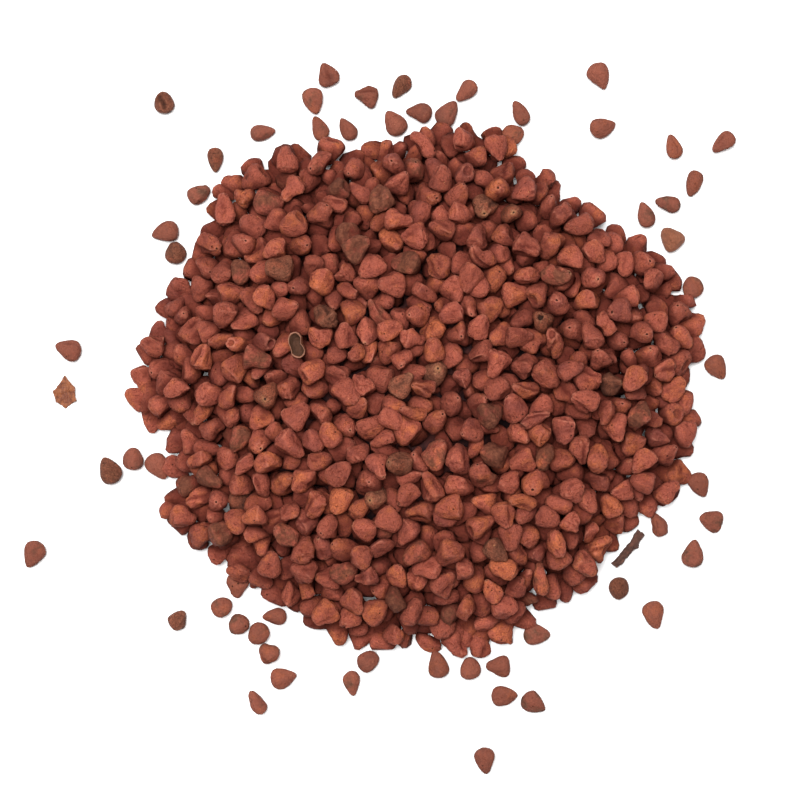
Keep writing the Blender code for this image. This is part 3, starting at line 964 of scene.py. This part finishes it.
def markGapShade(pieces):
    # marks on every point how far it lies below the seeds round it, from 0 to 1, which sets its painted shade
    cell, across = gaps["cell"], gaps["across"]
    high = np.zeros((across, across))
    places = []
    for piece in pieces:
        co = np.empty(len(piece.data.vertices) * 3, np.float32)
        piece.data.vertices.foreach_get("co", co)
        co = co.reshape(-1, 3) / mm
        cells = (co[:, :2] / cell + across / 2).astype(int)
        np.maximum.at(high, (cells[:, 0], cells[:, 1]), co[:, 2])
        places.append((co, cells))
    for step in range(gaps["reach"]):
        high = np.max([high] + [np.roll(high, way, side) for side in (0, 1) for way in (-1, 1)], axis=0)
    for step in range(gaps["soften"]):
        high = np.mean([high] + [np.roll(high, way, side) for side in (0, 1) for way in (-1, 1)], axis=0)
    for piece, (co, cells) in zip(pieces, places):
        below = high[cells[:, 0], cells[:, 1]] - co[:, 2]
        deep = np.clip((below - gaps["from"]) / (gaps["to"] - gaps["from"]), 0, 1)
        mark(piece.data, "deep", "FLOAT", deep.astype(np.float32))


def standUp(spot, lean, swing, spin):
    # turns the tip up towards the eye; angles in degrees
    turn = Euler((0, math.radians(-90 + lean), 0)).to_matrix()
    turn = Matrix.Rotation(math.radians(swing), 3, "Z") @ turn @ Matrix.Rotation(math.radians(spin), 3, "X")
    spot["turn"] = turn.to_quaternion()


def finishSeeds(spots, forms):
    # gives each seed its tone, and makes some stand out
    draw = random.Random(tones["seed"])
    for spot in spots:
        spot["tone"] = max(-1.0, min(1.0, draw.gauss(0.0, tones["spread"])))
        spot["brown"] = draw.uniform(*tones["brown"])
        spot["slot"] = "seed_coat"
        if draw.random() < heap["browns"]:
            spot["brown"] = draw.uniform(*tones["browner"])
    top = topSeeds(spots)
    low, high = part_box("heap")
    taken = set()
    for word, shares in standouts.items():
        for u, v in shares:
            x = (low[0] + (high[0] - low[0]) * u) / mm
            y = (low[1] + (high[1] - low[1]) * v) / mm
            free = [k for k in top if k not in taken]
            k = min(free, key=lambda k: math.hypot(spots[k]["place"][0] - x, spots[k]["place"][1] - y))
            taken.add(k)
            spot = spots[k]
            if word == "orange":
                spot["tone"] = tones["orange"]
            elif word == "husk":
                spot["slot"] = "golden_husk"
                spot["form"] = chooseForm(forms, draw, ["husk"])
                standUp(spot, splitHusk["lean"], splitHusk["heading"] - 90, 0)
                spot["place"][2] += splitHusk["raise"]
            elif word == "brown" and draw.random() < 0.5:
                spot["brown"] = draw.uniform(*tones["halfBrown"])
            else:
                spot["slot"] = "brown_seed_coat"
                spot["tone"] = draw.uniform(-0.2, 1.6)
                spot["brown"] = draw.uniform(0.0, 0.2)
            if word == "opened":
                spot["form"] = chooseForm(forms, draw, ["plump", "opened"], [0.7, 0.3])
                standUp(spot, draw.uniform(-35, 35), draw.uniform(0, 360), draw.uniform(0, 360))
    for k in top:
        inner = math.hypot(spots[k]["place"][0], spots[k]["place"][1]) < heap["uprightReach"]
        if k not in taken and inner and draw.random() < heap["upright"]:
            spots[k]["form"] = chooseForm(forms, draw, ["dimpled", "plump"])
            standUp(spots[k], draw.uniform(-28, 28), draw.uniform(0, 360), draw.uniform(0, 360))


def makeHeapSeeds(forms, plain, tree, shelf, plainShelf):
    spots = settle(forms)
    fillGaps(spots, forms)
    finishSeeds(spots, forms)
    spots = fitHeights(spots, forms, plain)
    top = set(topSeeds(spots))
    groups = {}
    for k, spot in enumerate(spots):
        word = forms[spot["form"]]["kind"] if spot["slot"] == "seed_coat" else "brown"
        if spot["slot"] == "golden_husk":
            word = "split_husk"
        elif k not in top and word != "brown":
            word = "under"
        groups.setdefault(word, []).append(spot)
    pieces = []
    for k, (word, group) in enumerate(groups.items()):
        kept = plainShelf if word == "under" else shelf
        name = word if word == "split_husk" else word + "_seeds"
        pieces.append(scatter(name, tree, kept, group, group[0]["slot"], k + 1))
    markGapShade(pieces)
    for piece, group in zip(pieces, groups.values()):
        hand(piece, group[0]["slot"], "heap")
    stage(f"{len(spots)} seeds in the heap, {len(top)} of them on top, in {len(groups)} pieces")


# The strays: each is its CAD solid with a finer surface, dents, a seam and lumps.
strays = {
    "kind": {"dent": 0.24, "groove": 0.12, "lumps": 0.16},
    "folds": {"dent": 0.55, "groove": 0.45, "lumps": 0.30},
    "folded": ("slim_seed_29", "horned_seed_02", "horned_seed_05", "horned_seed_08",
               "slim_seed_42", "round_seed_44", "round_seed_50"),
    "cracked": ("round_seed_01",), "swell": (1.06, 1.15, 1.08), "tipSize": 0.30, "seed": 21,
}


def strayFrame(mesh):
    # middle, heading towards the tip, and length, width and height of a CAD stray
    co = np.array([v.co for v in mesh.vertices]) / mm
    flat = co[:, :2] - co[:, :2].mean(0)
    axis = np.linalg.eigh(flat.T @ flat)[1][:, 1]
    run = flat @ axis
    if (run ** 3).sum() < 0:
        axis = -axis
        run = -run
    across = flat @ np.array([-axis[1], axis[0]])
    middle = (co.max(0) + co.min(0)) / 2
    return middle, math.atan2(axis[1], axis[0]), (np.ptp(run), np.ptp(across), np.ptp(co[:, 2]))


def finerSolid(word):
    # the points and faces of a CAD solid with its loose triangles joined and one subdivision
    holderMesh = nodes[word].data.copy()
    body = bmesh.new()
    body.from_mesh(holderMesh)
    bmesh.ops.remove_doubles(body, verts=body.verts, dist=0.01 * mm)
    body.to_mesh(holderMesh)
    body.free()
    holder = show(word + "_holder", holderMesh)
    finer = holder.modifiers.new("finer", "SUBSURF")
    finer.levels = finer.render_levels = 1
    piece = plainPiece(word + "_finer", holder)
    mesh = piece.data
    co = np.array([v.co for v in mesh.vertices]) / mm
    faces = [tuple(p.vertices) for p in mesh.polygons]
    bpy.data.objects.remove(piece)
    bpy.data.meshes.remove(mesh)
    return co, faces


def crackOpen(co, shares):
    # a wide crack along the top, with painted shade inside
    top = np.clip(co[:, 2] / 0.6, 0, 1)
    across = co[:, 1] - 0.30 * np.sin(co[:, 0] * 1.9) - 0.15
    within = np.clip(1.5 - np.abs(co[:, 0]) / 1.1, 0, 1)
    inside = np.exp(-(across / 0.36) ** 2) * top * within
    co[:, 2] -= inside * 0.85
    shares["crease"] = np.maximum(shares["crease"], np.clip(inside * 1.7, 0, 1))
    shares["hole"] = np.maximum(shares["hole"], np.clip(inside * 1.5 - 0.75, 0, 0.7))


def makeStrays():
    draw = random.Random(strays["seed"])
    groups = {}
    for word, node in nodes.items():
        if "_seed_" not in word:
            continue
        middle, heading, _ = strayFrame(node.data)
        places, faces = finerSolid(word)
        turn = np.array(Matrix.Rotation(-heading, 3, "Z"))
        own = (places - middle) @ turn.T * np.array(strays["swell"])
        own, crease = shrivel(own, strays["folds" if word in strays["folded"] else "kind"], draw)
        away = np.linalg.norm(own - own[np.argmax(own[:, 0])], axis=1) / strays["tipSize"]
        shares = {"crease": crease, "rim": np.exp(-away ** 2), "hole": np.exp(-(away * 2.2) ** 2)}
        if word in strays["cracked"]:
            crackOpen(own, shares)
        places = own @ turn + middle
        places[:, 2] -= places[:, 2].min()
        for name, value in (("chance", draw.random()), ("brown", draw.uniform(0.10, 0.34)),
                            ("tone", max(-1.0, min(0.6, draw.gauss(-0.1, 0.4))))):
            shares[name] = np.full(len(own), value)
        slot = node.material_slots[0].name.split(".")[0]
        groups.setdefault(slot, []).append((word, places, faces, own, shares))
    names = {"seed_coat": "red_stray_seeds", "brown_seed_coat": "brown_stray_seeds",
             "golden_husk": "golden_stray_seed"}
    for slot, group in groups.items():
        words, places, faces, own, shares = zip(*group)
        firsts = np.cumsum([0] + [len(p) for p in places])
        allFaces = [tuple(i + first for i in face) for first, some in zip(firsts, faces) for face in some]
        allShares = {name: np.concatenate([s[name] for s in shares]) for name in shares[0]}
        mesh = makeMesh(names[slot], np.vstack(places), allFaces, np.vstack(own), allShares)
        # loose red seeds take the darker coat, partly painted shade
        mesh.materials.append(coats["loose_" + slot if "loose_" + slot in coats else slot])
        hand(show(names[slot], mesh), slot, *words)
    stage(f"{sum(len(g) for g in groups.values())} strays")


# The flake of husk: a torn, curled sheet.
chip = {"around": 60, "rings": 9, "thick": 0.25, "corners": 6, "notch": 0.04, "jag": 0.035, "curl": 0.55,
        "swell": (1.08, 1.14), "turn": 0.35, "seed": 8}


def makeChip():
    draw = random.Random(chip["seed"])
    middle, heading, (length, width, height) = strayFrame(nodes["husk_chip"].data)
    heading = heading % math.pi + chip["turn"]  # its point lies to the back
    corners = []
    sector = 2 * math.pi / chip["corners"]
    for k in range(chip["corners"]):
        corners.append((k + draw.uniform(-0.2, 0.2), 1.15 if k == 0 else draw.uniform(0.70, 0.86)))
    corners.append((corners[0][0] + chip["corners"], corners[0][1]))
    spots = [(0.0, 0.0)]
    for k in range(1, chip["rings"] + 1):
        for a in range(chip["around"]):
            place = a / chip["around"] * chip["corners"] + corners[0][0]
            j = max(i for i in range(chip["corners"]) if corners[i][0] <= place + 1e-6)
            share = (place - corners[j][0]) / (corners[j + 1][0] - corners[j][0])
            ends = [(far * math.cos(turn * sector), far * math.sin(turn * sector))
                    for turn, far in corners[j:j + 2]]
            size = k / chip["rings"] * (1 - chip["notch"] * share * (1 - share) * 4)
            if k == chip["rings"]:
                size *= 1 + draw.uniform(-chip["jag"], chip["jag"])
            spots.append(tuple(size * (ends[0][i] * (1 - share) + ends[1][i] * share) for i in range(2)))
    flat = np.array(spots)
    flat -= (flat.max(0) + flat.min(0)) / 2
    flat *= np.array([length, width]) * np.array(chip["swell"]) / np.ptp(flat, axis=0)
    rise = chip["curl"] * (flat[:, 1] / width * 2) ** 2 + 0.22 * (flat[:, 0] / length * 2)
    lumps = np.array([noise.noise(Vector((x * 1.3, y * 1.3, 3.0))) for x, y in flat]) * 0.34
    top = np.column_stack([flat, rise + lumps])
    top[:, 2] *= (height - chip["thick"]) / np.ptp(top[:, 2])
    top[:, 2] += height - top[:, 2].max()
    below = top - np.array([0, 0, chip["thick"]])
    counts = [1] + [chip["around"]] * chip["rings"]
    upper = [face[::-1] for face in ringFaces(counts)]
    first = len(top)
    faces = upper + [tuple(i + first for i in face[::-1]) for face in upper]
    last = first - chip["around"]
    for a in range(chip["around"]):
        b = (a + 1) % chip["around"]
        faces.append((last + b, last + a, last + a + first, last + b + first))
    co = np.vstack([top, below])
    mesh = makeMesh("husk_flake", co, faces, co, {})
    mesh.materials.append(huskCoat)
    hand(show("husk_flake", layDown(mesh, middle, heading)), "golden_husk", "husk_chip")


# The twig: a bent stick with ridged bark and broken ends.
twig = {"around": 26, "rings": 60, "ridges": 5, "ridgeDepth": 0.20, "bend": 0.3, "snap": 0.30,
        "rough": 0.42, "narrowing": 0.22, "endInset": 0.3, "seed": 3,
        "knots": ((-0.18, 0.2), (0.16, 3.2), (0.36, 0.6)), "knotHigh": 0.40, "knotWide": 0.42}


def makeTwig():
    draw = random.Random(twig["seed"])
    middle, heading, (length, width, height) = strayFrame(nodes["twig"].data)
    spots = [(-length / 2 + twig["endInset"], 0.0, 0.0)]
    phase = draw.uniform(0, 6)
    for k in range(twig["rings"] + 1):
        share = k / twig["rings"]
        x = (share - 0.5) * length
        for a in range(twig["around"]):
            angle = 2 * math.pi * a / twig["around"]
            rough = noise.noise(Vector((x * 1.3, math.cos(angle) * 1.8, math.sin(angle) * 1.8 + 7)))
            ridge = math.cos(twig["ridges"] * angle + phase + x * 0.25) * twig["ridgeDepth"] * 0.5
            knot = sum(twig["knotHigh"] * math.exp(-((x - length * at) / twig["knotWide"]) ** 2)
                       * max(0.0, math.cos(angle - side)) for at, side in twig["knots"])
            taper = 1.0 - twig["narrowing"] * share
            r = height / 2 * taper * (1 + ridge + rough * twig["rough"] + knot)
            broken = twig["snap"] * noise.noise(Vector((angle * 1.7, share * 9, 2.0)))
            end = broken if k in (0, twig["rings"]) else 0.0
            y = r * math.cos(angle) + twig["bend"] * math.sin(math.pi * share) - twig["bend"] / 2
            spots.append((x + end, y, r * math.sin(angle)))
    spots.append((length / 2 - twig["endInset"], 0.0, 0.0))
    co = np.array(spots)
    co[:, 2] -= co[:, 2].min()
    counts = [1] + [twig["around"]] * (twig["rings"] + 1) + [1]
    mesh = makeMesh("twig_stick", co, ringFaces(counts), co, {})
    mesh.materials.append(barkCoat)
    hand(show("twig_stick", layDown(mesh, middle, heading)), "bark", "twig")


# The core under the seeds, coloured near-black as painted shade, which only shows as dark depth between them.
core = {"around": 150, "rings": 60, "lumps": 1.3}


def makeCore():
    mesh = coreMesh("heap_core", mm, core["around"], core["rings"], core["lumps"])
    mesh.polygons.foreach_set("use_smooth", [True] * len(mesh.polygons))
    material, tree, shader = newCoat("heap_depth", 0.85, 0.2)
    where = nodeIn(tree, "ShaderNodeTexCoord", (-4, 0)).outputs["Object"]
    depth = noiseIn(tree, (-3, 0), where, 420.0, 3.0, 0.6)
    # near-black patches of painted shade
    color = mixColor(tree, (-1, 0), shareOf(tree, (-2, 0), depth, 0.4, 0.65), (0.020, 0.008, 0.009),
                     (0.070, 0.018, 0.015))
    tree.links.new(color, shader.inputs["Base Color"])
    mesh.materials.append(material)
    hand(show("heap_core", mesh), "seed_coat", "heap")
    stage("core")


# Floor, light and camera.
studio = {"aim": (-3.2, -2.0), "height": 330.0, "lens": 87.3, "floor": 0.95, "sky": 0.06,
          "lampPlace": (-0.08, 0.12, 0.72), "lampSize": 0.42, "lampPower": 10.6}


def makeFloor():
    mesh = bpy.data.meshes.new("floor")
    far = 0.6
    mesh.from_pydata([(-far, -far, 0), (far, -far, 0), (far, far, 0), (-far, far, 0)], [], [(0, 1, 2, 3)])
    floor = show("floor", mesh)
    material, _, shader = newCoat("floor_white", 0.9, 0.3)
    shader.inputs["Base Color"].default_value = (studio["floor"],) * 3 + (1.0,)
    mesh.materials.append(material)


def makeLight():
    world = bpy.data.worlds.new("soft_sky")
    world.use_nodes = True
    world.node_tree.nodes["Background"].inputs["Color"].default_value = (1.0, 1.0, 1.0, 1.0)
    world.node_tree.nodes["Background"].inputs["Strength"].default_value = studio["sky"]
    scene.world = world
    lamp = bpy.data.lights.new("soft_lamp", "AREA")
    lamp.shape = "DISK"
    lamp.size = studio["lampSize"]
    lamp.energy = studio["lampPower"]
    lampObject = show("soft_lamp", lamp)
    lampObject.location = studio["lampPlace"]
    lampObject.rotation_euler = Vector(studio["lampPlace"]).to_track_quat("Z", "Y").to_euler()


def makeCamera():
    lens = bpy.data.cameras.new("camera")
    lens.lens = studio["lens"]
    lens.sensor_width = 36.0
    lens.clip_start = 0.01
    lens.clip_end = 10.0
    camera = show("camera", lens)
    camera.location = (studio["aim"][0] * mm, studio["aim"][1] * mm, studio["height"] * mm)
    scene.camera = camera


seedForms = makeForms(20, 1)
plainForms = makeForms(8, 2)
seedShelf = formShelf("seed_form", seedForms)
plainShelf = formShelf("plain_form", plainForms)
scatterer = scatterTree()
makeHeapSeeds(seedForms, plainForms, scatterer, seedShelf, plainShelf)
makeStrays()
makeChip()
makeTwig()
makeCore()
makeFloor()
makeLight()
makeCamera()
scene.view_settings.view_transform = "Standard"
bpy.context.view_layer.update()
stage("done")
